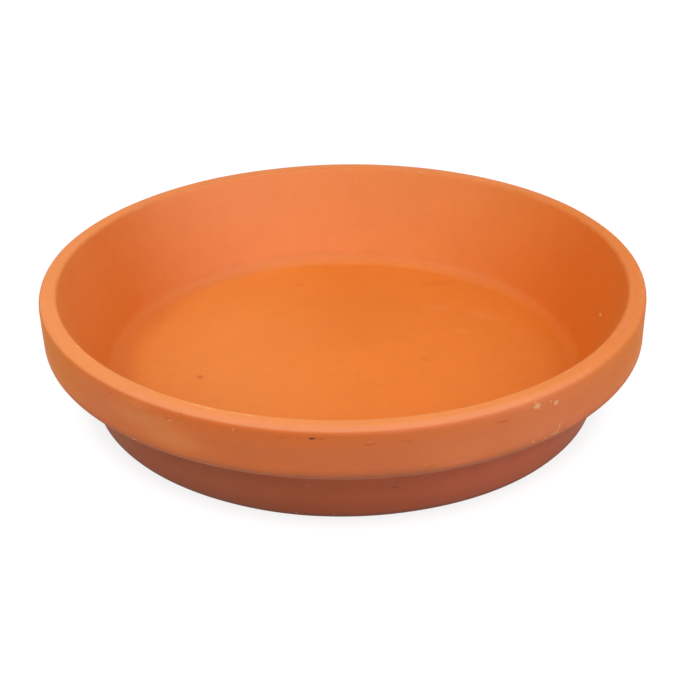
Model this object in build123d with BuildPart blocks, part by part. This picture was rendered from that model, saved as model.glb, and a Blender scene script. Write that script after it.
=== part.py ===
# Plant saucer of unglazed red clay, pressed and fired in one piece.
# Lengths in millimetres, +Z up, origin at the centre of the foot's underside.

import os

from build123d import *

# Overall sizes
collar_diameter = 250.0
saucer_height = 50.0

# Collar, the thick band around the top
collar_depth = 22.0
collar_overhang = 9.0
lip_width = 7.0
lip_outer_round = 2.5
lip_inner_round = 1.8
collar_lower_round = 3.5
collar_neck_round = 2.0

# Well, the inside that holds the pot and the water: its wall leans in from the lip down to the floor
well_inset = 18.5
floor_thickness = 8.0
well_round = 6.0

# Foot, the ring that the saucer stands on: the wall outside leans in from the neck down to it
foot_inset = 9.25
foot_width = 16.0
foot_height = 1.2
foot_slope_width = 3.0
foot_round = 0.5

# Radii and heights that follow from the sizes above
collar_radius = collar_diameter / 2
collar_bottom = saucer_height - collar_depth
neck_radius = collar_radius - collar_overhang
lip_radius = collar_radius - lip_width
well_radius = lip_radius - well_inset
foot_radius = neck_radius - foot_inset
foot_inner_radius = foot_radius - foot_width
hollow_radius = foot_inner_radius - foot_slope_width

# Corners of half a section, as (distance from the axis, height)
hollow_centre = (0, foot_height)
hollow_edge = (hollow_radius, foot_height)
foot_inner_edge = (foot_inner_radius, 0)
foot_outer_edge = (foot_radius, 0)
neck_corner = (neck_radius, collar_bottom)
collar_lower_edge = (collar_radius, collar_bottom)
lip_outer_edge = (collar_radius, saucer_height)
lip_inner_edge = (lip_radius, saucer_height)
well_corner = (well_radius, floor_thickness)
well_centre = (0, floor_thickness)

rounded_corners = [
    (foot_outer_edge, foot_round),
    (neck_corner, collar_neck_round),
    (collar_lower_edge, collar_lower_round),
    (lip_outer_edge, lip_outer_round),
    (lip_inner_edge, lip_inner_round),
    (well_corner, well_round),
]

# The saucer is its half section turned once around the axis
with BuildPart() as saucer:
    with BuildSketch(Plane.XZ) as section:
        with BuildLine():
            Polyline(
                hollow_centre,
                hollow_edge,
                foot_inner_edge,
                foot_outer_edge,
                neck_corner,
                collar_lower_edge,
                lip_outer_edge,
                lip_inner_edge,
                well_corner,
                well_centre,
                close=True,
            )
        make_face()
        for corner, radius in rounded_corners:
            fillet(section.vertices().sort_by_distance(corner)[0], radius)
    revolve(axis=Axis.Z)

saucer.part.label = "saucer"

os.makedirs("parts", exist_ok=True)
export_step(saucer.part, "parts/saucer.step")
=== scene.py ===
# %% [markdown]
# # A red clay plant saucer
#
# A saucer like this is pressed or turned from wet red clay, dried and fired without a glaze.
# It is one piece: a flat lip, a thick collar, a wall that leans in to the foot, and a flat well.
# The measured model of it is loaded first and never changed. It says where everything is,
# and the clay that is seen is built over it with the small faults that a real one has.

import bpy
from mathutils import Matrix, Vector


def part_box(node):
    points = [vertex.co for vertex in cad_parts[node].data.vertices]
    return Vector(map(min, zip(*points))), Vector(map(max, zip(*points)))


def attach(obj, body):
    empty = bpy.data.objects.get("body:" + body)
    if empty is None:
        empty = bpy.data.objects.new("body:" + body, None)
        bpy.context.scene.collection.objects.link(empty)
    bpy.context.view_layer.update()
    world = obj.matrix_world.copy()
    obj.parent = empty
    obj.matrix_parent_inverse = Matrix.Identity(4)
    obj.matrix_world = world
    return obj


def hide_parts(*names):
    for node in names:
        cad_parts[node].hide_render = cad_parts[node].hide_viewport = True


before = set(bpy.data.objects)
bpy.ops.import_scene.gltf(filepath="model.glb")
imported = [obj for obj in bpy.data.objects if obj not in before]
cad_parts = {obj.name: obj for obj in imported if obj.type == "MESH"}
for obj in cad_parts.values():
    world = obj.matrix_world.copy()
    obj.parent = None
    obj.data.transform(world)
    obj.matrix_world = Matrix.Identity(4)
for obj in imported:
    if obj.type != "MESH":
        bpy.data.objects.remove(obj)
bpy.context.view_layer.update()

# %% [markdown]
# ## Sizes
#
# Blender works in metres, and a potter thinks in millimetres, so every size is written in
# millimetres and multiplied by one short name. The outer sizes are read from the measured
# saucer, and the others are the same named sizes that it was built from.

# %% Sizes of the saucer
import math

import bmesh
import bpy
from mathutils import Matrix, Quaternion, Vector, bvhtree, geometry, kdtree, noise

mm = 0.001
too_small_to_see = 0.01 * mm
saucer_low, saucer_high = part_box("saucer")
collar_radius = (saucer_high.x - saucer_low.x) / 2
saucer_height = saucer_high.z

collar_depth = 22 * mm
collar_overhang = 9 * mm
lip_width = 7 * mm
well_inset = 18.5 * mm
floor_thickness = 8 * mm
foot_inset = 9.25 * mm
foot_width = 16 * mm
foot_height = 1.2 * mm
foot_slope_width = 3 * mm

collar_bottom = saucer_height - collar_depth
neck_radius = collar_radius - collar_overhang
lip_radius = collar_radius - lip_width
well_radius = lip_radius - well_inset
foot_radius = neck_radius - foot_inset
foot_inner_radius = foot_radius - foot_width
hollow_radius = foot_inner_radius - foot_slope_width
print("collar", round(collar_radius / mm, 2), "mm, height", round(saucer_height / mm, 2), "mm")

# %% [markdown]
# ## The camera
#
# The photograph looks down into the saucer from the front, about 30 degrees above the table,
# with a lens that is a little long. The lens is given as its length in pixels of the square
# photograph, because that is how it is found from the shape of the rim. The camera stands
# straight in front and is turned to an aim point near the middle of the saucer.

# %% Camera at the photograph's place
photo_side = 700
lens_in_pixels = 1300
camera_distance = 568.98 * mm
camera_height_angle = 0.5166
camera_roll = -0.0025
aim_point = Vector((2.38, 0, 11.3)) * mm

camera_data = bpy.data.cameras.new("photo_camera")
camera_data.sensor_width = 36
camera_data.lens = camera_data.sensor_width * lens_in_pixels / photo_side
camera_data.clip_start = 10 * mm
camera = bpy.data.objects.new("photo_camera", camera_data)
bpy.context.scene.collection.objects.link(camera)
bpy.context.scene.camera = camera

camera_place = Vector((
    0,
    -camera_distance * math.cos(camera_height_angle),
    camera_distance * math.sin(camera_height_angle),
))
towards_aim = (aim_point - camera_place).to_track_quat("-Z", "Y")
camera_turn = towards_aim @ Quaternion((0, 0, 1), camera_roll)
camera.location = camera_place
camera.rotation_euler = camera_turn.to_euler()


def sight_line(pixel):
    """The direction in which the camera sees a pixel of the photograph."""
    across, down = pixel
    middle = photo_side / 2
    seen = Vector((across + 0.5 - middle, middle - down - 0.5, -lens_in_pixels))
    return (camera_turn @ seen).normalized()


print("lens", round(camera_data.lens, 2), "mm, camera at", tuple(round(c, 4) for c in camera_place))

# %% [markdown]
# ## Half a section
#
# Anything that comes off a potter's wheel or out of a round mould is one outline, turned
# around an axis. It could be bent from a cylinder or built with a Screw modifier. Here the
# outline is drawn as a few corner points joined by edges, because each corner is then a size
# that can be read off the real thing.

# %% Corners of the section
section_corners = {
    "hollow centre": (0, foot_height),
    "hollow edge": (hollow_radius, foot_height),
    "foot inner edge": (foot_inner_radius, 0),
    "foot outer edge": (foot_radius, 0),
    "neck": (neck_radius, collar_bottom),
    "collar lower edge": (collar_radius, collar_bottom),
    "lip outer edge": (collar_radius, saucer_height),
    "lip inner edge": (lip_radius, saucer_height),
    "well corner": (well_radius, floor_thickness),
    "well centre": (0, floor_thickness),
}

clay = bmesh.new()
corner_places = {name: Vector((r, 0, z)) for name, (r, z) in section_corners.items()}
corner_verts = {name: clay.verts.new(place) for name, place in corner_places.items()}
outline = list(corner_verts.values())
for start, end in zip(outline, outline[1:]):
    clay.edges.new((start, end))
print("section has", len(clay.verts), "corners")

# %% [markdown]
# ## Soft corners
#
# Wet clay never holds a sharp corner. Each one is rounded with the bevel operator on a single
# vertex. The bevel is measured along the edges, so the radius of the round is turned into that
# distance from the angle between the two edges.

# %% Round the corners
corner_rounds = {
    "foot inner edge": (0.8 * mm, 3),
    "foot outer edge": (0.5 * mm, 3),
    "neck": (2 * mm, 4),
    "collar lower edge": (3.5 * mm, 8),
    "lip outer edge": (2.5 * mm, 8),
    "lip inner edge": (1.8 * mm, 5),
    "well corner": (6 * mm, 8),
}
round_ends = {}

for name, (radius, segments) in corner_rounds.items():
    vert = corner_verts[name]
    one, other = [edge.other_vert(vert).co - vert.co for edge in vert.link_edges]
    reach = radius * math.tan((math.pi - one.angle(other)) / 2)
    round_ends[name] = [vert.co + one.normalized() * reach, vert.co + other.normalized() * reach]
    bmesh.ops.bevel(
        clay,
        geom=[vert],
        offset=reach,
        offset_type="OFFSET",
        segments=segments,
        profile=0.5,
        affect="VERTICES",
        material=-1,
    )
print("rounded section has", len(clay.verts), "points")

# %% [markdown]
# ## Enough points for small faults
#
# Ridges and dents move points of the mesh, so there have to be points to move. They are close
# together on the collar, which is seen from near by, and far apart under the foot.

# %% Divide the straight runs
stretches = {
    ("hollow centre", "hollow edge"): 6 * mm,
    ("hollow edge", "foot inner edge"): 1.5 * mm,
    ("foot inner edge", "foot outer edge"): 2.5 * mm,
    ("foot outer edge", "neck"): 1.3 * mm,
    ("neck", "collar lower edge"): 1.2 * mm,
    ("collar lower edge", "lip outer edge"): 0.85 * mm,
    ("lip outer edge", "lip inner edge"): 0.7 * mm,
    ("lip inner edge", "well corner"): 1.5 * mm,
    ("well corner", "well centre"): 3 * mm,
}


def lies_between(place, start, end):
    """True for a place on the straight line from one corner to another."""
    nearest, share = geometry.intersect_point_line(place, start, end)
    return (nearest - place).length < too_small_to_see and 0 < share < 1


for edge in clay.edges[:]:
    middle = (edge.verts[0].co + edge.verts[1].co) / 2
    for (start, end), step in stretches.items():
        if lies_between(middle, corner_places[start], corner_places[end]):
            cuts = math.ceil(edge.calc_length() / step) - 1
            if cuts > 0:
                bmesh.ops.subdivide_edges(clay, edges=[edge], cuts=cuts)
            break
print("divided section has", len(clay.verts), "points")

# %% [markdown]
# ## A tape measure along the section
#
# Turning marks follow the clay: up the wall, over the lip and down into the well. So each
# point keeps its distance along the section, measured like a tape laid on it from the middle
# of the underside to the middle of the well. The finish reads it as an attribute called run.

# %% Measure along the section
run_layer = clay.verts.layers.float.new("run")
vert = min(clay.verts, key=lambda v: (v.co - corner_places["hollow centre"]).length)
last_edge = None
tape = [(vert.co.copy(), 0.0)]
while True:
    onward = [edge for edge in vert.link_edges if edge is not last_edge]
    if not onward:
        break
    last_edge = onward[0]
    vert = last_edge.other_vert(vert)
    vert[run_layer] = tape[-1][1] + last_edge.calc_length()
    tape.append((vert.co.copy(), vert[run_layer]))


def run_at(place):
    """Distance along the section of the point of the outline nearest to a place."""
    return min(tape, key=lambda mark: (mark[0] - place).length)[1]


corner_runs = {name: sorted(run_at(end) for end in ends) for name, ends in round_ends.items()}
whole_run = tape[-1][1]
for name, (start, end) in corner_runs.items():
    print(name, round(start / mm, 1), "to", round(end / mm, 1), "mm")
print("whole run", round(whole_run / mm, 1), "mm")

# %% [markdown]
# ## Turn the section
#
# The spin operator does what the wheel does. A whole turn of many small steps is slow in one
# go, because each step looks through all that is there. So an eighth is turned, and then the
# piece is doubled three times: to a quarter, a half and the whole. Where the parts meet, and on
# the axis, points lie on top of each other. They are merged before the faces are made to look
# outwards.

# %% Turn an eighth and double it
turn_steps = 512
doublings = 3
merge_distance = 0.001 * mm
first_turn = 2 * math.pi / 2 ** doublings
bmesh.ops.spin(
    clay,
    geom=clay.verts[:] + clay.edges[:],
    cent=(0, 0, 0),
    axis=(0, 0, 1),
    dvec=(0, 0, 0),
    angle=first_turn,
    steps=turn_steps // 2 ** doublings,
    use_merge=False,
    use_normal_flip=False,
    use_duplicate=False,
)
for doubling in range(doublings):
    copied = bmesh.ops.duplicate(clay, geom=clay.verts[:] + clay.edges[:] + clay.faces[:])["geom"]
    copied_verts = [part for part in copied if isinstance(part, bmesh.types.BMVert)]
    further = Matrix.Rotation(first_turn * 2 ** doubling, 3, "Z")
    bmesh.ops.rotate(clay, cent=(0, 0, 0), matrix=further, verts=copied_verts)
bmesh.ops.remove_doubles(clay, verts=clay.verts[:], dist=merge_distance)
bmesh.ops.recalc_face_normals(clay, faces=clay.faces[:])
open_edges = sum(not edge.is_manifold for edge in clay.edges)
print("turned", len(clay.verts), "points,", len(clay.faces), "faces,", open_edges, "open edges")

# %% [markdown]
# ## The rim has moved a little
#
# Clay shrinks as it dries and sags in the kiln, so no rim is level or quite round. This one
# stands higher on the right and at the back, and has gone slightly oval, which shows when its
# ellipses in the photograph are measured. The foot stood on the kiln shelf and stayed true, so
# each point moves by its share of the height.

# %% Let the rim drift
rim_lift_right = 1.44 * mm
rim_lift_back = 0.84 * mm
rim_shift = Vector((-0.93, -0.24, 0)) * mm
rim_oval_straight = 0.06 * mm
rim_oval_slant = -0.45 * mm
rim_wave_straight = 0.24 * mm
rim_wave_slant = 0.26 * mm

for vert in clay.verts:
    share = vert.co.z / saucer_height
    around = math.atan2(vert.co.y, vert.co.x)
    level = Vector((vert.co.x, vert.co.y, 0)) / collar_radius
    straight, slant = math.cos(2 * around), math.sin(2 * around)
    oval = rim_oval_straight * straight + rim_oval_slant * slant
    wave = rim_wave_straight * straight + rim_wave_slant * slant
    rise = rim_lift_right * level.x + rim_lift_back * level.y + wave
    vert.co += share * (level * oval + rim_shift + Vector((0, 0, rise)))
print("rim now", round(min(v.co.x for v in clay.verts) / mm, 2), "to",
      round(max(v.co.x for v in clay.verts) / mm, 2), "mm")

# %% [markdown]
# ## Wobble and turning ridges
#
# A finger, a rib or a worn mould leaves two kinds of unevenness. Slow waves, centimetres long,
# bend the rim by a tenth of a millimetre. Turning ridges are fine lines that run around the
# saucer and fade in and out. Both are made by pushing points along their normals with noise:
# for the ridges the noise is stretched far around the axis and kept short along the section.
# The number of changes says how often a ridge comes and goes on its way around.

# %% Push the points
wobble_size = 45 * mm
wobble_depth = 0.16 * mm
ridge_spacing = 3.2 * mm
ridge_depth = 0.045 * mm
fine_ridge_spacing = 1.7 * mm
fine_ridge_depth = 0.02 * mm
ridge_changes = 0.7
fine_ridge_changes = 1.9

clay.normal_update()
pushes = []
for vert in clay.verts:
    around = Vector((vert.co.x, vert.co.y, 0)).normalized()
    run = vert[run_layer]
    wobble = noise.noise(vert.co / wobble_size) * wobble_depth
    ridge_place = around * ridge_changes + Vector((0, 0, run / ridge_spacing))
    fine_place = around * fine_ridge_changes + Vector((0, 0, run / fine_ridge_spacing))
    ridge = noise.noise(ridge_place) * ridge_depth
    fine = noise.noise(fine_place) * fine_ridge_depth
    pushes.append(vert.normal * (wobble + ridge + fine))
for vert, push in zip(clay.verts, pushes):
    vert.co += push
print("deepest push", round(max(p.length for p in pushes) / mm, 3), "mm")

# %% [markdown]
# ## Finding the marks
#
# A speck that is seen at a pixel of the photograph lies somewhere on that pixel's sight line.
# The place is where the line meets the clay, found with a search tree of the mesh. Every mark
# then sits on the surface, seen from any side. A mark is a short stroke from one pixel to
# another with a width. A round speck is a stroke whose two ends are the same.

# %% Marks seen in the photograph
search_tree = bvhtree.BVHTree.FromBMesh(clay)


def on_clay(pixel):
    """The place on the clay that the camera sees at a pixel."""
    return search_tree.ray_cast(camera_place, sight_line(pixel))[0]


def strokes(named_pixels):
    """Strokes on the clay, as (first place, last place, half width), in metres."""
    marks = named_pixels.values()
    return [(on_clay(first), on_clay(last), width / 2) for first, last, width in marks]


lime_specks = strokes({
    "star on the collar, right": ((536.6, 405.6), (537.4, 405.2), 2.2 * mm),
    "long arm of the star": ((534.6, 401.6), (539.6, 409), 0.6 * mm),
    "cross arm of the star": ((533, 406.6), (541, 404.2), 0.5 * mm),
    "second star": ((555.4, 402.6), (556.4, 402.2), 1.5 * mm),
    "arm of the second star": ((553.4, 401), (558, 400), 0.5 * mm),
    "between the stars": ((550.2, 400.6), (550.8, 401.4), 0.7 * mm),
    "flake below the streak": ((556.4, 431.8), (557, 432.2), 0.6 * mm),
    "fleck on the lower edge": ((544.2, 437.6), (545, 437.8), 0.5 * mm),
    "second fleck on the lower edge": ((532, 441), (533.4, 441), 0.5 * mm),
    "grain on the collar, left": ((232.3, 428.6), (232.6, 429.6), 0.45 * mm),
    "grain on the collar, far left": ((168.4, 419.6), (169.4, 419.8), 0.6 * mm),
    "grain right of the middle": ((424.6, 464), (425.2, 464.2), 0.4 * mm),
    "flake at the lower edge": ((132.5, 438.2), (135, 439), 0.7 * mm),
    "inside the right wall": ((599.4, 313.6), (600.4, 314.8), 1.3 * mm),
    "nick of the lip, left": ((76.6, 345.2), (77.6, 346.6), 0.6 * mm),
    "second nick of the lip": ((87.6, 356.4), (88.6, 357.4), 0.5 * mm),
    "grain at the foot": ((295.4, 511.6), (296.4, 512), 0.5 * mm),
    "second grain at the foot": ((332.6, 514), (333.4, 514), 0.4 * mm),
})
faint_streaks = strokes({
    "curved streak below the stars": ((559.6, 422), (558.6, 428), 0.9 * mm),
    "bend of the curved streak": ((558.6, 428), (555.6, 432), 0.9 * mm),
    "end of the curved streak": ((555.6, 432), (550, 434.4), 0.8 * mm),
})
dark_pits = strokes({
    "pit in front": ((309.6, 438.3), (313.6, 438.5), 0.85 * mm),
    "under the lip, left": ((179.4, 412.6), (181, 413), 0.45 * mm),
    "lower wall, middle": ((392, 486.5), (398, 487.3), 0.36 * mm),
    "foot, right of the middle": ((364.6, 506), (365.4, 506), 0.4 * mm),
})
red_rubs = strokes({
    "dot on the collar, far left": ((110, 392), (111, 392.2), 1.2 * mm),
    "dot in the well, left": ((199.7, 375.6), (199.9, 377.6), 2 * mm),
    "drag right of the pit": ((314, 438.8), (324, 439.2), 0.6 * mm),
    "dot left of the pit": ((297, 438), (298.6, 438.2), 0.8 * mm),
    "rub in front": ((364, 444.6), (375.6, 443), 0.9 * mm),
    "rub on the collar, right": ((497, 422.5), (509, 420), 0.9 * mm),
    "rub above the left grain": ((165, 417.6), (168, 418.2), 0.8 * mm),
    "drag on the collar, left": ((272, 436), (288, 437.2), 0.35 * mm),
    "drag on the collar, middle": ((401, 441), (411, 440), 0.6 * mm),
})
sharp_marks = [lime_specks, faint_streaks, dark_pits, red_rubs]
print("sharp marks placed:", sum(len(marks) for marks in sharp_marks))

# %% [markdown]
# ## Soft patches
#
# Wet hands, salts and the flame leave patches without an edge. They are strokes too, only
# broader, and the finish will blur them. Pink blushes lie where the clay was pressed or dragged,
# ochre and pale clouds where the firing was uneven. A pale line along the inner edge of the lip
# is a painted highlight, where that edge catches the light.

# %% Patches seen in the photograph
soft_stains = strokes({
    "well, right of the middle": ((424, 358.4), (426, 359.4), 4 * mm),
    "well, by the back corner": ((424, 284), (450, 281), 6 * mm),
    "well, around the left pit": ((198, 376), (202, 376.6), 4 * mm),
    "well, back": ((297, 284), (303, 285), 4 * mm),
})
pale_patches = strokes({
    "well, right": ((432, 308), (442, 305.6), 6 * mm),
    "well, far right": ((470, 312), (496, 318.6), 7 * mm),
    "well, middle": ((457, 330), (464, 330.6), 5 * mm),
    "lower wall, in front": ((306.6, 484.8), (309, 485.4), 2.4 * mm),
    "streak below the star": ((542, 427), (541, 437), 1.5 * mm),
    "second streak below the star": ((538.6, 431), (537, 439), 1.3 * mm),
    "blotch by the right notch": ((578.6, 411), (580.4, 410), 2.6 * mm),
    "blur around the star": ((536, 406), (538, 405), 4 * mm),
})
pink_blushes = strokes({
    "lower edge, right": ((566, 426.6), (583, 415.6), 2.2 * mm),
    "under the lip, right": ((500, 414), (530, 405.4), 2 * mm),
    "under the lip, right of the middle": ((390, 432), (500, 415), 2.6 * mm),
    "above the rub in front": ((367, 441.8), (374, 441.2), 0.7 * mm),
    "left of the pit": ((303.6, 438.2), (308.4, 438.3), 0.5 * mm),
    "under the lip, far right": ((534, 403.6), (552, 396), 1.4 * mm),
    "lip, right": ((622, 327), (627, 322.4), 2.6 * mm),
    "lower edge, right of the middle": ((448, 464), (470, 459), 1.5 * mm),
    "lower edge, left": ((160, 450), (222, 466.8), 1.5 * mm),
    "lower edge, far left": ((128, 436.6), (136, 440), 1.2 * mm),
})
ochre_clouds = strokes({
    "collar, far left": ((116, 408), (160, 425), 9 * mm),
    "collar, lower left": ((142, 428), (196, 446), 7 * mm),
})
pale_clouds = strokes({
    "lower edge, left": ((150, 447), (204, 463), 2.6 * mm),
    "under the lip, left": ((118, 395.6), (152, 409.6), 3 * mm),
    "collar, left": ((152, 426), (186, 441), 13 * mm),
    "collar, right of the middle": ((432, 455), (500, 441), 12 * mm),
    "collar, right": ((500, 441), (560, 417), 12 * mm),
})
# Painted highlight along the inner edge of the lip.
lip_edge_highlight_strokes = strokes({
    "start": ((192, 403.6), (201, 406.2), 0.6 * mm),
    "first part": ((201, 406.2), (216, 409.6), 0.6 * mm),
    "second part": ((227, 411.4), (241, 413.7), 0.5 * mm),
    "end": ((241, 413.7), (255, 415.6), 0.5 * mm),
})
patches = [soft_stains, pale_patches, pink_blushes, ochre_clouds, pale_clouds, lip_edge_highlight_strokes]
print("patches placed:", sum(len(marks) for marks in patches))

# %% [markdown]
# ## Carving the deeper marks
#
# A pit where a grain of sand fell out, and the groove that it dragged, catch the light by their
# shape, so they are real dents. The faces around a mark are divided finely first, because they
# are larger than the pit. A second search tree finds the points near a mark without going
# through all of them. Adding points makes older ones unusable, so all the edges are gathered
# first and divided once.

# %% Divide around the deeper marks
deep_pit = 0.35 * mm
shallow_pit = 0.2 * mm
flake_hollow = 0.12 * mm
rub_groove = 0.09 * mm
dents = [(stroke, deep_pit) for stroke in dark_pits[:2]]
dents += [(stroke, shallow_pit) for stroke in dark_pits[2:]]
dents += [(stroke, flake_hollow) for stroke in lime_specks[:1] + lime_specks[3:4]]
dents += [(stroke, rub_groove) for stroke in red_rubs[:4]]

margin = 1.5 * mm
fine_cuts = 4
whole_verts = clay.verts[:]
vert_tree = kdtree.KDTree(len(whole_verts))
for index, vert in enumerate(whole_verts):
    vert_tree.insert(vert.co, index)
vert_tree.balance()
edges_near = set()
for (first, last, half_width), depth in dents:
    reach = (last - first).length / 2 + half_width * 1.6 + margin
    for place, index, away in vert_tree.find_range((first + last) / 2, reach):
        edges_near.update(edge for face in whole_verts[index].link_faces for edge in face.edges)
divided = bmesh.ops.subdivide_edges(
    clay,
    edges=list(edges_near),
    cuts=fine_cuts,
    use_grid_fill=True,
)
fine_verts = {part for part in divided["geom"] if isinstance(part, bmesh.types.BMVert)}
print("points after dividing:", len(clay.verts), "of which fine:", len(fine_verts))

# %% [markdown]
# ## Pressing the fine points
#
# The new points are pushed into the clay, most in the middle of the stroke and least at its
# edge, and a little noise makes the dent ragged. How far a point is from the stroke is worked
# out from the nearest place on the line between the stroke's two ends.

# %% Press pits and drags
spread = 1.3
raggedness = 0.4
ragged_grain = 0.3 * mm


def stroke_distance(place, first, last):
    """How far a place is from a stroke."""
    along = last - first
    if along.length < too_small_to_see:
        return (place - first).length
    share = min(1, max(0, (place - first).dot(along) / along.length_squared))
    return (place - first - along * share).length


def press(stroke, depth):
    """Pushes the fine points along a stroke into the clay."""
    first, last, half_width = stroke
    inwards = -search_tree.find_nearest((first + last) / 2)[1]
    pressed = 0
    for vert in fine_verts:
        away = stroke_distance(vert.co, first, last) / (half_width * spread)
        if away < 1:
            ragged = 1 + raggedness * noise.noise(vert.co / ragged_grain)
            vert.co += inwards * depth * ragged * (1 - away * away) ** 2
            pressed += 1
    return pressed


moved = sum(press(stroke, depth) for stroke, depth in dents)
bmesh.ops.recalc_face_normals(clay, faces=clay.faces[:])
print("points pressed in:", moved)

# %% [markdown]
# ## From bmesh to a piece
#
# The finished mesh is written to an object and shaded smooth. It rides on the only body there
# is, and the measured saucer is hidden, as this piece takes its place.

# %% Make the piece
for face in clay.faces:
    face.smooth = True
saucer_mesh = bpy.data.meshes.new("clay_saucer")
clay.to_mesh(saucer_mesh)
clay.free()
clay_saucer = bpy.data.objects.new("clay_saucer", saucer_mesh)
bpy.context.scene.collection.objects.link(clay_saucer)
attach(clay_saucer, "root")
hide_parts("saucer")
triangles = sum(len(polygon.vertices) - 2 for polygon in saucer_mesh.polygons)
print("piece has", triangles, "triangles")

# %% [markdown]
# ## Sums on sockets
#
# A finish is a chain of nodes, and long chains are easier to read as sums. This small class
# holds one output of a node. Plus, minus, times and the like on it add Math nodes, and its
# node method adds any other node: settings first, then values or links.

# %% A wire that can be added up
class Wire:
    """One output of a node, with sums written as plain Python."""

    def __init__(self, socket):
        self.socket = socket

    def node(self, kind, settings=None, inputs=None, output=0):
        return add_node(self.socket.id_data, kind, settings, inputs, output)

    def maths(self, operation, *others):
        values = dict(enumerate((self,) + others))
        return self.node("ShaderNodeMath", {"operation": operation}, values)

    def __add__(self, other):
        return self.maths("ADD", other)

    __radd__ = __add__

    def __mul__(self, other):
        return self.maths("MULTIPLY", other)

    __rmul__ = __mul__

    def __sub__(self, other):
        return self.maths("SUBTRACT", other)

    def __rsub__(self, other):
        return self.maths("MULTIPLY_ADD", -1.0, other)

    def __truediv__(self, other):
        return self.maths("DIVIDE", other)


def add_node(tree, kind, settings=None, inputs=None, output=0):
    """Adds a node, gives it its settings and then its inputs, and returns one output."""
    added = tree.nodes.new(kind)
    for name, value in (settings or {}).items():
        setattr(added, name, value)
    for key, value in (inputs or {}).items():
        if isinstance(value, Wire):
            tree.links.new(value.socket, added.inputs[key])
        else:
            added.inputs[key].default_value = value
    return Wire(added.outputs[output]) if added.outputs else None


print("sums ready")

# %% [markdown]
# ## The fired clay
#
# Unglazed clay is matt: light goes in, scatters and comes back coloured, and hardly any of it
# shines. All of the look is in small differences of colour and in grain. The finish starts
# with the place on the piece and the distance along the section.

# %% Places in the finish
terracotta = bpy.data.materials.new("terracotta")
terracotta.use_nodes = True
finish = terracotta.node_tree
finish.nodes.clear()

place = add_node(finish, "ShaderNodeTexCoord", output="Object")
run = add_node(finish, "ShaderNodeAttribute", {"attribute_name": "run"}, output="Fac")
flatten = {0: place, 1: (1, 1, 0)}
level_place = place.node("ShaderNodeVectorMath", {"operation": "MULTIPLY"}, flatten)
around = place.node("ShaderNodeVectorMath", {"operation": "NORMALIZE"}, {0: level_place})
print("finish can read place and run")

# %% [markdown]
# ## Clouds and turning lines
#
# Two kinds of noise do nearly all the work. A cloud is the same in every direction. Turning
# lines are noise that is stretched around the axis and kept short along the run, because a
# wheel drags every grain the same way. A seed moves a cloud, so that no two are alike.

# %% Two kinds of noise
def cloud(size, detail=2.0, roughness=0.5, seed=0.0):
    """Noise with soft blobs of about a given size, from 0 to 1 with a middle of 0.5."""
    apart = {0: place, 1: (seed, seed, seed)}
    shifted = place.node("ShaderNodeVectorMath", {"operation": "ADD"}, apart)
    settings = {"noise_dimensions": "3D"}
    inputs = {"Vector": shifted, "Scale": 1 / size, "Detail": detail, "Roughness": roughness}
    return place.node("ShaderNodeTexNoise", settings, inputs)


def turning_lines(spacing, length, detail=1.0):
    """Lines that run around the saucer, some way apart, and fade out along their length."""
    stretch = {0: around, "Scale": 1 / length}
    far_around = around.node("ShaderNodeVectorMath", {"operation": "SCALE"}, stretch)
    upwards = run.node("ShaderNodeCombineXYZ", None, {"Z": run / spacing})
    wheel = around.node("ShaderNodeVectorMath", {"operation": "ADD"}, {0: far_around, 1: upwards})
    inputs = {"Vector": wheel, "Scale": 1.0, "Detail": detail}
    return around.node("ShaderNodeTexNoise", {"noise_dimensions": "3D"}, inputs)


print("noise ready")

# %% [markdown]
# ## Soft steps and layers
#
# Clay has no hard borders, so every share comes from a soft step, which Map Range makes with its
# smooth interpolation. Two steps that face each other make a band. Colours are laid over each
# other in turn, as a painter would, and a small function saves writing each Mix node out.

# %% Steps, bands and layers
def between(value, start, end):
    """A soft step: 0 up to the start, 1 from the end on."""
    settings = {"interpolation_type": "SMOOTHSTEP"}
    inputs = {"Value": value, "From Min": start, "From Max": end, "To Min": 0.0, "To Max": 1.0}
    if start > end:
        inputs.update({"From Min": end, "From Max": start, "To Min": 1.0, "To Max": 0.0})
    return value.node("ShaderNodeMapRange", settings, inputs)


def blend(share, one, other, kind="MIX"):
    """Mixes two colours: share 0 gives the one, share 1 the other."""
    settings = {"data_type": "RGBA", "blend_type": kind}
    owner = share if isinstance(share, Wire) else one
    return owner.node("ShaderNodeMix", settings, {0: share, 6: one, 7: other}, output=2)


def laid_over(colour, layers):
    """A colour with others laid over it in turn, each where its share is 1."""
    for share, layer in layers:
        colour = blend(share, colour, layer)
    return colour


def run_band(opens, full, fades, gone):
    """A soft band of the run: it opens, is 1 from full until it fades, and is then gone."""
    return between(run, opens, full) * between(run, gone, fades)


print("steps and layers ready")

# %% [markdown]
# ## Pale to deep around the saucer
#
# The saucer is painted lighter and darker around its axis, as light falls on it. Inside, the
# back and the left are painted paler and pinker, as sheen, and the right side a deeper orange,
# as shade; outside, the wall, the neck and the collar are painted lighter to the right. The
# place is turned into shares that grow from -1 to 1 towards the right and the back, and soft
# steps on them say where a side begins. A slow cloud makes it less regular.

# %% Sides of the saucer
split = place.node("ShaderNodeSeparateXYZ", None, {"Vector": place})
to_right = split * (1 / collar_radius)
to_back = Wire(split.socket.node.outputs["Y"]) * (1 / collar_radius)
uneven = (cloud(38 * mm, 2, seed=0.3) - 0.5) * 0.3

far_right = between(to_right, 0.55, 0.95)
far_left = between(to_right, -0.75, -1)
left_half = between(to_right, 0.2, -0.5)
beside = between(to_right.maths("ABSOLUTE"), 0.35, 0.7)
far_beside = between(to_right.maths("ABSOLUTE"), 0.55, 0.75)
collar_ends = between(to_right, -0.68, -0.9).maths("MAXIMUM", far_right)
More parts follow.
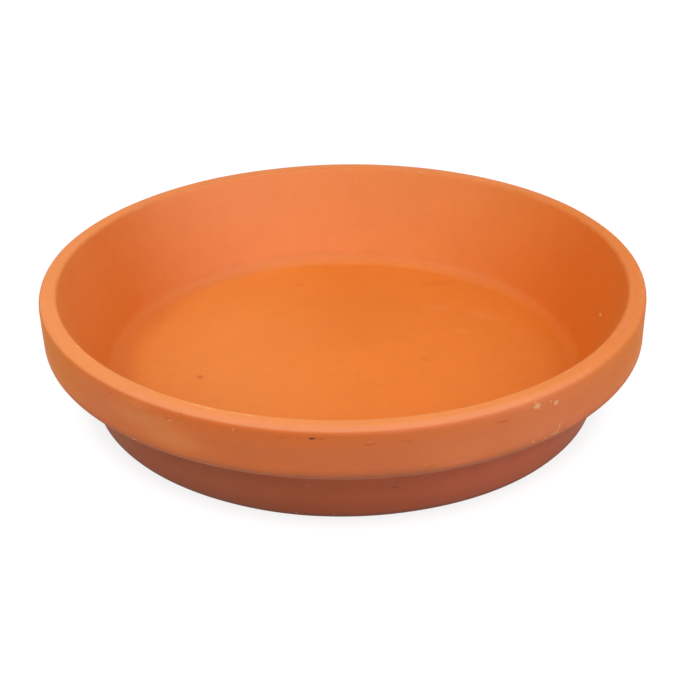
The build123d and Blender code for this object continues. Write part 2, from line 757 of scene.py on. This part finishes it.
# Painted sheen on the back of the inside.
painted_sheen_back = between(to_back + to_right * 0.05, 0.2, 0.85)
back_lip = between(to_back, 0.45, 0.85) * 0.8
front = between(to_back, -0.6, -0.95)
middle_front = between(to_back, -0.8, -1)


def fired(deep, pale, share):
    """Clay between its deep and its pale colour."""
    wandering = share + uneven
    return blend(wandering.maths("MAXIMUM", 0.0).maths("MINIMUM", 1.0), deep, pale)


print("sides and a cloud")

# %% [markdown]
# ## Zones of the underside and the wall
#
# One clay, but not one colour. Underneath, only the ring that the saucer stands on is worn pale,
# and its edge has a thin dark line of painted contact shade. The wall above it is painted
# brown, as shade under the collar: darkest near the foot, as shade by the table, and painted
# lighter and redder towards the neck, as light under the collar.
# Each zone is a soft step on the run, so its edge follows the shape, and a slow noise lets the
# edge wander like a real one.

# %% Zones below the collar
foot_start, foot_end = corner_runs["foot outer edge"]
inner_foot_start, inner_foot_end = corner_runs["foot inner edge"]
neck_start, neck_end = corner_runs["neck"]
wander = (cloud(12 * mm, 3) - 0.5) * (3 * mm)
zone_run = run + wander

standing_zone = run_band(inner_foot_start, inner_foot_end, foot_start, foot_end)
# Painted contact shade: a thin dark line at the edge of the foot.
foot_contact_shade_zone = run_band(foot_start - 1 * mm, foot_start, foot_end + 0.6 * mm, foot_end + 2.4 * mm)
wall_zone = between(zone_run, foot_start - 1 * mm, foot_end + 1 * mm)
# Painted shade at the bottom of the wall, near the table.
low_wall_shade_zone = between(zone_run, foot_end + 13 * mm, foot_end + 1 * mm)
# Painted light: the wall under the collar is lifted towards the neck.
neck_zone = between(zone_run, neck_start - 10 * mm, neck_start)
print("foot at", round(foot_start / mm), "mm of the run, neck at", round(neck_start / mm), "mm")

# %% [markdown]
# ## Zones of the collar, the lip and the well
#
# The lip is painted the palest, as light on its top, with a painted sheen on its outer round.
# The collar's lower edge and the rounds under it turn away from the light and are painted
# browner, as shade. Inside, the side, the rounded corner and the flat well differ a little.
# The well's zone begins crisply at the front and the back and softly at both sides.

# %% Zones from the collar's lower edge to the well
edge_start, edge_end = corner_runs["collar lower edge"]
lip_start, lip_end = corner_runs["lip outer edge"]
rim_start, rim_end = corner_runs["lip inner edge"]
corner_start, corner_end = corner_runs["well corner"]

# Painted shade on the collar's lower edge and on the rounds under it.
edge_zone = between(zone_run, edge_start - 1 * mm, edge_start + 1 * mm)
shaded_edge_zone = run_band(neck_end - 1 * mm, neck_end, edge_start + 0.8 * mm, edge_start + 3.2 * mm)
collar_zone = between(zone_run, edge_start + 2.5 * mm, edge_end + 2.5 * mm)
upper_collar_zone = between(zone_run, lip_start - 8 * mm, lip_start) * 0.8
# Painted light: the lip is the palest, as light on its top.
lip_zone = between(run, lip_start + 1.05 * mm, lip_start + 2.05 * mm)
# Painted sheen on the outer round of the lip.
lip_sheen_zone = between(run, lip_end + 1 * mm, lip_end - 0.6 * mm) * lip_zone
inside_zone = between(run, rim_start + 0.2 * mm, rim_end)
corner_zone = between(zone_run, corner_start - 3 * mm, corner_start + 2 * mm)
crisp_well_zone = between(zone_run, corner_end - 1.5 * mm, corner_end + 2 * mm)
soft_well_zone = between(zone_run, corner_end - 4 * mm, corner_end + 11 * mm)
print("zones start at", [round(start / mm) for start in (edge_start, lip_start, rim_start)])

# %% [markdown]
# ## Clays below the collar
#
# Colours are linear red, green and blue. Fired clay reflects a lot of red, a fifth of the green
# and hardly any blue, so the blue is what tells a pale place from a deep one. Underneath,
# rings of paler clay show inside the foot. The wall's clays are painted shade, lighter to the
# right and towards the neck as painted light. The wall is painted darker at both its ends, as
# shade, so there its colour is multiplied by a tint that takes away some red.

# %% Colours of the underside and the wall
ring_share = between(run, 60 * mm, 30 * mm) * 0.8 + uneven
hollow_clay = fired((0.70, 0.19, 0.05, 1), (0.82, 0.235, 0.065, 1), ring_share)
worn_share = (cloud(6 * mm, 4, 0.7, seed=0.35) - 0.4) * 5
standing_clay = fired((0.74, 0.20, 0.05, 1), (0.86, 0.33, 0.13, 1), worn_share)
# Painted shade: the wall is darker than the collar's clay, and painted lighter to the right.
painted_shade_wall_clay = fired((0.44, 0.084, 0.009, 1), (0.655, 0.129, 0.041, 1), to_right * 1.1 + 0.55)
# Painted shade, darkest near the table.
low_wall_shade_clay = fired((0.36, 0.068, 0.01, 1), (0.52, 0.099, 0.032, 1), to_right * 1.2 + 0.4)
# Painted contact shade at the foot's edge.
foot_contact_shade_clay = (0.15, 0.06, 0.03, 1)
# Painted light under the collar, strongest in the middle front and on the right.
neck_painted_light_share = middle_front * 0.5 + to_right * 0.5 + 0.38
neck_painted_light_clay = fired((0.57, 0.12, 0.013, 1), (0.96, 0.19, 0.048, 1), neck_painted_light_share)
# Painted shade at both ends of the wall.
wall_end_tint = (0.84, 0.98, 0.88, 1)

colour = laid_over(hollow_clay, [
    (standing_zone, standing_clay),
    (wall_zone, painted_shade_wall_clay),
    (low_wall_shade_zone * wall_zone, low_wall_shade_clay),
    (foot_contact_shade_zone * 0.6, foot_contact_shade_clay),
    (neck_zone, neck_painted_light_clay),
])
colour = blend(wall_zone * far_beside, colour, wall_end_tint, "MULTIPLY")
print("clays laid up to the neck")

# %% [markdown]
# ## Clays of the collar and the lip
#
# The collar had the most fire and is a warm orange, more so towards the lip. It is painted
# lighter to the right, where more light falls, and deeper at its left and right ends, as shade.
# The lip is painted palest, as light on its top, and paler still on the left, in front and at
# the back. Its painted sheen shows in front only.

# %% Colours of the collar and the lip
# Painted shade: the collar's lower edge and the rounds under it are darker than the collar.
edge_clay = (0.54, 0.14, 0.045, 1)
shaded_edge_clay = (0.56, 0.105, 0.004, 1)
# Painted light: the collar is lighter towards the right.
collar_clay = fired((0.72, 0.174, 0.038, 1), (0.77, 0.202, 0.07, 1), to_right * 0.9 + 0.3)
upper_collar_clay = fired((0.785, 0.176, 0.021, 1), (0.82, 0.224, 0.05, 1), to_right * 1.6 + 0.15)
# Painted shade at the collar's left and right ends.
side_band_clay = blend(left_half, (0.755, 0.188, 0.002, 1), (0.74, 0.198, 0.005, 1))
lip_share = to_right * -0.4 - to_back * 0.35 + 0.42
# Painted light: the lip is paler on the left and in front.
lip_clay = fired((0.76, 0.205, 0.028, 1), (0.89, 0.302, 0.082, 1), lip_share)
back_lip_clay = (0.84, 0.255, 0.062, 1)
# Painted sheen on the lip's outer round, shown in front only.
lip_sheen_clay = (0.86, 0.295, 0.105, 1)

colour = laid_over(colour, [
    (edge_zone, edge_clay),
    (shaded_edge_zone * 0.9, shaded_edge_clay),
    (collar_zone, collar_clay),
    (upper_collar_zone, upper_collar_clay),
    (collar_zone * collar_ends * 0.8, side_band_clay),
    (lip_zone, lip_clay),
    (lip_zone * back_lip, back_lip_clay),
    (lip_sheen_zone * front, lip_sheen_clay),
])
print("clays laid up to the lip")

# %% [markdown]
# ## Clays of the inside
#
# Inside, the back and the left have a painted pale sheen, the right is painted deeper as shade,
# and the well is painted paler to the left and to the front. The side, the corner and the well
# each go from a deep to a sheened clay by their own share.

# %% Colours of the inside
# Painted shade on the right and painted sheen on the back and the left of the inside.
deep_wall = blend(left_half, (0.76, 0.162, 0.004, 1), (0.715, 0.162, 0.012, 1))
pale_back = blend(between(to_back, 0.5, 0.92), (0.84, 0.245, 0.03, 1), (0.84, 0.266, 0.053, 1))
painted_sheen_wall = blend(left_half, pale_back, (0.87, 0.284, 0.078, 1))
side_share = painted_sheen_back + far_left * (0.3 - to_back * 0.3)
side_clay = fired(deep_wall, painted_sheen_wall, side_share)
deep_corner = blend(left_half, (0.78, 0.18, 0.007, 1), (0.72, 0.165, 0.014, 1))
painted_sheen_corner = blend(left_half, (0.79, 0.25, 0.048, 1), (0.78, 0.25, 0.06, 1))
corner_clay = fired(deep_corner, painted_sheen_corner, painted_sheen_back * 0.85 + left_half * 0.2)
# Painted light: the well is lighter to the left and to the front.
deep_well = blend(between(to_back, -0.4, 0.6), (0.85, 0.213, 0.017, 1), (0.77, 0.192, 0.0165, 1))
well_clay = fired(deep_well, (0.85, 0.248, 0.038, 1), left_half - to_back * 0.35)

well_zone = crisp_well_zone * (1 - beside) + soft_well_zone * beside
colour = laid_over(colour, [
    (inside_zone, side_clay),
    (corner_zone, corner_clay),
    (well_zone, well_clay),
])
print("clays laid along the whole run")

# %% [markdown]
# ## Lighter and darker
#
# On top of the zones lie five kinds of unevenness: clouds a few centimetres wide, mottling of
# a few millimetres, single grains, and turning lines, coarse and fine. Each is noise around
# zero. They are added up and multiply the colour, so that a dark place is darker and not greyer.
# The coarse lines are strong underneath, where nobody smoothed the clay.

# %% Clouds, mottling, lines and grains
coarse_spacing = 1.1 * mm
fine_spacing = 0.45 * mm
cloud_size = 30 * mm
mottling_size = 5 * mm
grain_size = 0.8 * mm

turning = turning_lines(coarse_spacing, 0.9, 2.0) - 0.5
fine_turning = turning_lines(fine_spacing, 2.2, 1.0) - 0.5
outside = run_band(foot_end, foot_end + 2 * mm, rim_start, rim_end)
underneath = between(run, inner_foot_end, inner_foot_start)
clouds = cloud(cloud_size, 2, seed=0.9) - 0.5
mottling = cloud(mottling_size, 3, seed=0.5) - 0.5
grains = cloud(grain_size, 2, 0.7, seed=0.7) - 0.5
light_and_dark = clouds * 0.08 + mottling * 0.08 + grains * 0.08
turning_depth = outside * 0.02 + underneath * 0.25 + 0.025
light_and_dark = light_and_dark + turning * turning_depth + fine_turning * 0.015
tone = light_and_dark + 1.0
toned = colour.node("ShaderNodeVectorMath", {"operation": "SCALE"}, {0: colour, "Scale": tone})
print("tone made of five kinds of noise")

# %% [markdown]
# ## Specks, pits and rubs
#
# Each mark of the photograph is a stroke on the clay. A Mapping node of the texture kind moves,
# turns and shrinks the place, so that the stroke becomes a ball of size 1 around the origin, and
# the length of that vector tells how near it is. The smallest of these lengths, softly stepped,
# is the mask of a kind of mark. Fine noise shakes the place first, or specks would be perfect.

# %% Distance to the nearest stroke
def shaken(amount, grain):
    """The place, moved at random by up to about half the amount, in grains of a given size."""
    settings = {"noise_dimensions": "3D"}
    inputs = {"Vector": place, "Scale": 1 / grain, "Detail": 2.0}
    shake = place.node("ShaderNodeTexNoise", settings, inputs, output="Color")
    inputs = {0: shake, 1: (0.5, 0.5, 0.5)}
    centred = shake.node("ShaderNodeVectorMath", {"operation": "SUBTRACT"}, inputs)
    inputs = {0: centred, 1: (amount, amount, amount), 2: place}
    return place.node("ShaderNodeVectorMath", {"operation": "MULTIPLY_ADD"}, inputs)


def nearest_stroke(marks, start):
    """Distance to the nearest stroke: 0 in the middle of one and 1 at its edge."""
    nearest = None
    for first, last, half_width in marks:
        way = last - first
        inputs = {
            "Vector": start,
            "Location": (first + last) / 2,
            "Rotation": way.to_track_quat("X", "Z").to_euler(),
            "Scale": (way.length / 2 + half_width, half_width, half_width),
        }
        grain = start.node("ShaderNodeMapping", {"vector_type": "TEXTURE"}, inputs)
        away = grain.node("ShaderNodeVectorMath", {"operation": "LENGTH"}, {0: grain}, output="Value")
        nearest = away if nearest is None else nearest.maths("MINIMUM", away)
    return nearest


print("strokes can be measured")

# %% [markdown]
# ## A mask for each kind of mark
#
# Sharp marks use the finely shaken place and blurred ones the broadly shaken place. The two
# numbers of a step are where the mark ends and where it is full, and a value above 1 lets it
# fade out beyond the stroke's own edge.

# %% Masks of the marks
finely = shaken(0.7 * mm, 0.5 * mm)
broadly = shaken(3.5 * mm, 4 * mm)
lime_mask = between(nearest_stroke(lime_specks, finely), 1.4, 0.45)
streak_mask = between(nearest_stroke(faint_streaks, finely), 1.5, 0.1)
pit_mask = between(nearest_stroke(dark_pits, finely), 1.4, 0.75)
rub_mask = between(nearest_stroke(red_rubs, finely), 1.4, 0.2)
lip_edge_highlight_mask = between(nearest_stroke(lip_edge_highlight_strokes, finely), 1.4, 0.3)
stain_mask = between(nearest_stroke(soft_stains, broadly), 1.4, 0.0)
patch_mask = between(nearest_stroke(pale_patches, broadly), 1.5, 0.0)
blush_mask = between(nearest_stroke(pink_blushes, finely), 1.6, 0.0)
pale_mask = between(nearest_stroke(pale_clouds, broadly), 1.5, 0.0)
ochre_mask = between(nearest_stroke(ochre_clouds, broadly), 1.5, 0.0)
print("ten masks")

# %% [markdown]
# ## Pores everywhere
#
# The photograph shows one side. All around, fired clay has scattered pores and grains of lime,
# and a Voronoi texture gives one per cell: its distance draws the dot, and the colour of the
# cell decides by chance whether there is a dot at all.

# %% Scattered pores and lime
dotted = shaken(0.25 * mm, 0.5 * mm)


def scattered(spacing, size, chance, seed):
    """Small dots, one in some of the cells of a given spacing."""
    apart = {0: dotted, 1: (seed, seed, seed)}
    moved = place.node("ShaderNodeVectorMath", {"operation": "ADD"}, apart)
    inputs = {"Vector": moved, "Scale": 1 / spacing, "Randomness": 1.0}
    cell = place.node("ShaderNodeTexVoronoi", {"voronoi_dimensions": "3D"}, inputs, output="Distance")
    lot = place.node("ShaderNodeSeparateColor", None, {"Color": Wire(cell.socket.node.outputs["Color"])})
    drawn = lot.maths("LESS_THAN", chance)
    return between(cell, size / spacing, 0.4 * size / spacing) * drawn


pore_spacing = 5 * mm
pore_size = 0.32 * mm
dust_spacing = 9 * mm
dust_size = 0.34 * mm
pores = scattered(pore_spacing, pore_size, 0.35, 0.2)
lime_dust = scattered(dust_spacing, dust_size, 0.3, 0.6)
print("pores and lime scattered")

# %% [markdown]
# ## Wear on the edges
#
# The two edges of the lip are rubbed by hands, pots and other saucers. The wear is a narrow band
# of the run on each edge, broken up by noise, so that it comes and goes around the saucer.

# %% Edge wear
inner_edge = run_band(rim_start - 0.6 * mm, rim_start + 0.3 * mm, rim_end - 0.3 * mm, rim_end + 0.4 * mm)
outer_edge = run_band(lip_start + 0.6 * mm, lip_start + 1.8 * mm, lip_end - 0.6 * mm, lip_end + 0.6 * mm)
rubbed = between(cloud(7 * mm, 4, 0.6, seed=0.1), 0.45, 0.75)
wear = (inner_edge * 0.3 + outer_edge * 0.2) * rubbed
print("wear on two edges")

# %% [markdown]
# ## Marks over the clay
#
# The marks are laid over the toned clay like coats of paint, the broad ones first and the pits
# last, because a pit goes through everything. The number after a mask says how strongly the
# mark covers what is under it.

# %% Put the colours together
lime_colour = (0.92, 0.52, 0.25, 1)
# Painted shade in the pits and the pores; at a low share it is also the colour of the real stains.
pit_shade_and_stain_colour = (0.07, 0.008, 0.001, 1)
rub_colour = (0.54, 0.065, 0.01, 1)
worn_colour = (0.88, 0.36, 0.13, 1)
blush_colour = (0.88, 0.225, 0.11, 1)
pale_colour = blend(left_half, (0.82, 0.236, 0.07, 1), (0.86, 0.25, 0.055, 1))
# Colour of the painted highlight on the lip's inner edge.
lip_edge_highlight_colour = (0.95, 0.52, 0.22, 1)
ochre_colour = (0.78, 0.265, 0.07, 1)

finished = laid_over(toned, [
    (wear, worn_colour),
    (pale_mask * 0.6, pale_colour),
    (ochre_mask * 0.6, ochre_colour),
    (blush_mask * 0.5, blush_colour),
    (stain_mask * 0.1, pit_shade_and_stain_colour),
    (patch_mask * 0.15, worn_colour),
    (streak_mask * 0.4, lime_colour),
    (rub_mask * 0.5, rub_colour),
    (pores * 0.35, pit_shade_and_stain_colour),
    (lime_dust * 0.35, lime_colour),
    (lime_mask * 0.8, lime_colour),
    (lip_edge_highlight_mask * 0.6, lip_edge_highlight_colour),
    # Painted shade deepens the shade of the carved pits.
    (pit_mask * 0.96, pit_shade_and_stain_colour),
])
print("colour is finished")

# %% [markdown]
# ## Grain and lines that are felt
#
# Below a tenth of a millimetre, relief isn't worth its faces. A Bump node tilts the light as if
# it were there: sandy grain, fine turning lines, and the pores as small holes. The clay is a bit
# rougher at both sides of the wall and at the ends of the collar, where a smooth clay would
# mirror the bright room at a low angle.

# %% Relief and shader
sand_size = 0.45 * mm
lump_size = 3 * mm
relief_depth = 0.08 * mm
sand = cloud(sand_size, 3, 0.65, seed=0.4)
lumps = cloud(lump_size, 2, seed=0.8)
relief = sand * 0.5 + lumps * 0.6 + fine_turning * 0.3 + turning * (underneath * 2 + 0.4)
relief = relief - pores * 1.2 - pit_mask * 0.6
inputs = {"Strength": 0.45, "Distance": relief_depth, "Height": relief}
bump = relief.node("ShaderNodeBump", None, inputs)
dull_wall = wall_zone * (1 - collar_zone) * beside
dull_collar = between(run, edge_end + 2 * mm, edge_end + 8 * mm) * (1 - lip_zone) * collar_ends
base_roughness = 0.62
roughness = (cloud(6 * mm, 3, seed=0.2) - 0.5) * 0.12 + lime_mask * 0.1 + base_roughness
roughness = roughness + dull_wall * 0.09 + dull_collar * 0.09

shader = finished.node(
    "ShaderNodeBsdfPrincipled",
    None,
    {
        "Base Color": finished,
        "Roughness": roughness,
        "Specular IOR Level": 0.5,
        "Diffuse Roughness": 0.5,
        "Normal": bump,
    },
)
shader.node("ShaderNodeOutputMaterial", None, {"Surface": shader})
saucer_mesh.materials.append(terracotta)
print("terracotta has", len(finish.nodes), "nodes")

# %% [markdown]
# ## A white table
#
# The saucer stands on a plain white table, which is one square, far larger than what the camera
# sees. The underside has its small waves too, so the table lies at its lowest point.

# %% Table
table_side = 8
table_mesh = bpy.data.meshes.new("table")
board = bmesh.new()
bmesh.ops.create_grid(board, x_segments=1, y_segments=1, size=table_side / 2)
lowest = min(vert.co.z for vert in saucer_mesh.vertices)
bmesh.ops.translate(board, verts=board.verts[:], vec=(0, 0, lowest))
board.to_mesh(table_mesh)
board.free()
table = bpy.data.objects.new("table", table_mesh)
bpy.context.scene.collection.objects.link(table)
print("table is", table_side, "m across")

# %% [markdown]
# ## Paint of the table
#
# Seen by the camera the table glows white, but to the light that bounces from it it is grey, or
# the wall under the collar would glow too. A grey part that isn't glow keeps the saucer's
# shadow, and close to the foot the glow is a little weaker: a painted contact shadow, as where
# two things touch.

# %% Paint of the table
table_paint = bpy.data.materials.new("table_paint")
table_paint.use_nodes = True
paint = table_paint.node_tree
paint.nodes.clear()


def seen_directly(tree):
    """1 for rays that show a thing to the camera, straight or by gloss, 0 for bounced light."""
    rays = add_node(tree, "ShaderNodeLightPath", output="Is Camera Ray")
    light_path = rays.socket.node
    glossy = Wire(light_path.outputs["Is Glossy Ray"])
    through = Wire(light_path.outputs["Is Transmission Ray"])
    return rays.maths("MAXIMUM", glossy).maths("MAXIMUM", through)


bounce_grey = (0.3, 0.3, 0.3, 1)
shadow_grey = (0.22, 0.22, 0.22, 1)
near_glow = 0.9
far_glow = 1.0
foot_shade = 0.13
looked_at = seen_directly(paint)
table_place = add_node(paint, "ShaderNodeTexCoord", output="Object")
length_of = {"operation": "LENGTH"}
from_middle = table_place.node("ShaderNodeVectorMath", length_of, {0: table_place}, output="Value")
# Painted contact shadow on the table around the foot.
at_foot = between(from_middle, 120 * mm, 104 * mm) * -foot_shade
farther_out = between(from_middle, 130 * mm, 600 * mm)
glow_strength = farther_out * (far_glow - near_glow) + near_glow + at_foot
plain = add_node(paint, "ShaderNodeBsdfDiffuse", None, {"Color": bounce_grey})
shaded = add_node(paint, "ShaderNodeBsdfDiffuse", None, {"Color": shadow_grey})
glow = add_node(paint, "ShaderNodeEmission", None, {"Strength": glow_strength})
white = glow.node("ShaderNodeAddShader", None, {0: shaded, 1: glow})
surface = white.node("ShaderNodeMixShader", None, {0: looked_at, 1: plain, 2: white})
surface.node("ShaderNodeOutputMaterial", None, {"Surface": surface})
table_mesh.materials.append(table_paint)
print("table glows from", near_glow, "near the saucer to", far_glow, "far away")

# %% [markdown]
# ## Lamps
#
# The photograph is brighter at both sides of the collar than in front, so three soft boxes light
# the saucer: one beside the camera and one on each side. Each looks at the saucer from the same
# distance. Three lamps from a list are easier to compare than three built apart.

# %% Lamps
lamp_size = 0.9
lamp_distance = 1.25


def lamp_at(name, turn, height_angle, power):
    """A square soft box that looks at the saucer. A turn of 0 is the camera's side, 90 the right."""
    away, up = math.cos(height_angle), math.sin(height_angle)
    data = bpy.data.lights.new(name, "AREA")
    data.shape = "SQUARE"
    data.size = lamp_size
    data.energy = power
    lamp = bpy.data.objects.new(name, data)
    lamp.location = lamp_distance * Vector((math.sin(turn) * away, -math.cos(turn) * away, up))
    lamp.rotation_euler = (-lamp.location).to_track_quat("-Z", "Y").to_euler()
    bpy.context.scene.collection.objects.link(lamp)
    return lamp


soft_boxes = [
    lamp_at("front_box", math.radians(0), math.radians(40), 6.5),
    lamp_at("left_box", math.radians(-70), math.radians(45), 5.6),
    lamp_at("right_box", math.radians(70), math.radians(45), 6.9),
]
print(len(soft_boxes), "soft boxes,", round(sum(box.data.energy for box in soft_boxes), 1), "W in all")

# %% [markdown]
# ## Room
#
# The room adds a little even light from everywhere. Seen by the camera it is a white backdrop,
# as behind the cut-out in the photograph, with the same switch that the table has.

# %% Room and colour
room = bpy.data.worlds.new("room")
room.use_nodes = True
bpy.context.scene.world = room
air = room.node_tree
air.nodes.clear()
room_light = 0.1
even_glow = add_node(air, "ShaderNodeBackground", None, {"Color": (1, 1, 1, 1), "Strength": room_light})
backdrop = add_node(air, "ShaderNodeBackground", None, {"Color": (1, 1, 1, 1), "Strength": 1.0})
sky = even_glow.node("ShaderNodeMixShader", None, {0: seen_directly(air), 1: even_glow, 2: backdrop})
sky.node("ShaderNodeOutputWorld", None, {"Surface": sky})

bpy.context.scene.view_settings.view_transform = "Standard"
print("room light", room_light)
